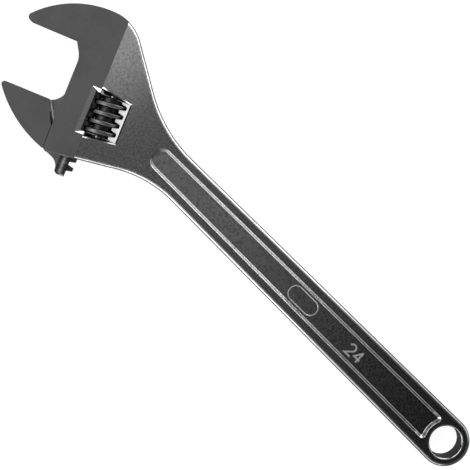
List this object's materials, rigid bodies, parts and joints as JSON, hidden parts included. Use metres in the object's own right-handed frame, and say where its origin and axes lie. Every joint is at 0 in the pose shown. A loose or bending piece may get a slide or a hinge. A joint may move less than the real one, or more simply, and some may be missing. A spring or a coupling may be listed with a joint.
{
  "type": "adjustable wrench",
  "caption": "Large forged adjustable wrench with a recessed I-section handle, a hang hole, and a sliding lower jaw moved by a thumb worm and rack.",
  "frame": {"origin": "centre of the hang hole, at mid thickness", "axes": "+X along the handle from the hang hole to the head, +Y across to the sliding jaw's side, +Z along the hang hole's axis, up when the wrench lies flat"},
  "size_m": [0.6184, 0.1537, 0.032],
  "materials": {
    "forged_body": "satin chrome plate over a forging, with ground flat head faces",
    "forged_jaw": "satin chrome plate over a forging, with ground flat faces",
    "worm_steel": "turned and polished dark steel",
    "pin_steel": "turned steel",
    "spring_steel": "drawn spring wire"
  },
  "bodies": {
    "body": {"wrench_body": "forged_body", "worm_pin": "pin_steel", "worm_spring": "spring_steel"},
    "jaw": {"movable_jaw": "forged_jaw"},
    "worm": {"adjusting_worm": "worm_steel"}
  },
  "joints": [
    {"name": "jaw_slide", "type": "slide", "parent": "body", "child": "jaw", "axis": [-0.3827, 0.9239, 0], "range_m": [-0.0617, 0.001]},
    {"name": "worm_spin", "type": "hinge", "parent": "body", "child": "worm", "pos_m": [0.47355, 0.00895, 0], "axis": [-0.3827, 0.9239, 0], "range_deg": [-39, 2389]}
  ],
  "couplings": [
    {"joint": "worm_spin", "follows": "jaw_slide", "rad_per_m": -675.61}
  ]
}
